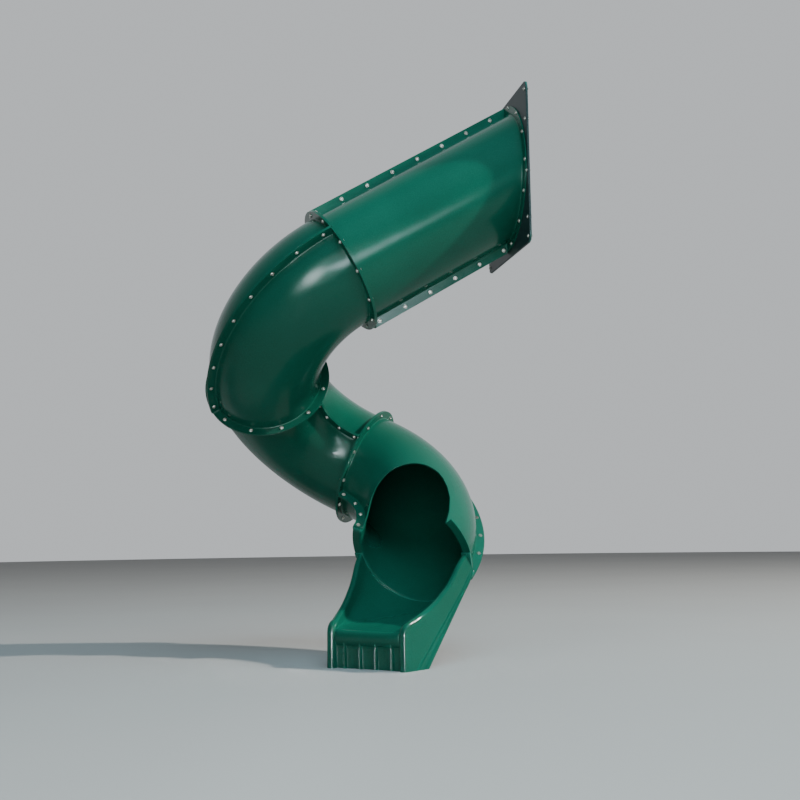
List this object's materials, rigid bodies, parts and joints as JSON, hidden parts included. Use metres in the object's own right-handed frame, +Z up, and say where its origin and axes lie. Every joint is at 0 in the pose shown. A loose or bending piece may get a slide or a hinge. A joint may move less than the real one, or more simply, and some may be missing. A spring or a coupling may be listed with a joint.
{
  "type": "spiral tube slide",
  "caption": "Enclosed green plastic tube slide that turns down in bolted elbow sections from an upright deck plate to an open hooded chute on the ground.",
  "frame": {"origin": "on the deck side of the entry plate, in the middle of its lower strip under the hole", "axes": "+X out of the plate's deck side, towards a child about to enter; +Z up; the tube leaves towards -X and its first elbow turns towards +Y"},
  "size_m": [1.5758, 1.4571, 2.9274],
  "materials": {
    "green_plastic": "satin moulded plastic",
    "plate_plastic": "satin moulded plastic"
  },
  "bodies": {
    "root": {"entry_plate": "plate_plastic", "entry_tube_near": "green_plastic", "entry_tube_far": "green_plastic", "first_elbow_upper": "green_plastic", "first_elbow_lower": "green_plastic", "second_elbow_upper": "green_plastic", "second_elbow_lower": "green_plastic", "exit_hood": "green_plastic", "exit_trough": "green_plastic", "exit_chute": "green_plastic"}
  },
  "joints": []
}
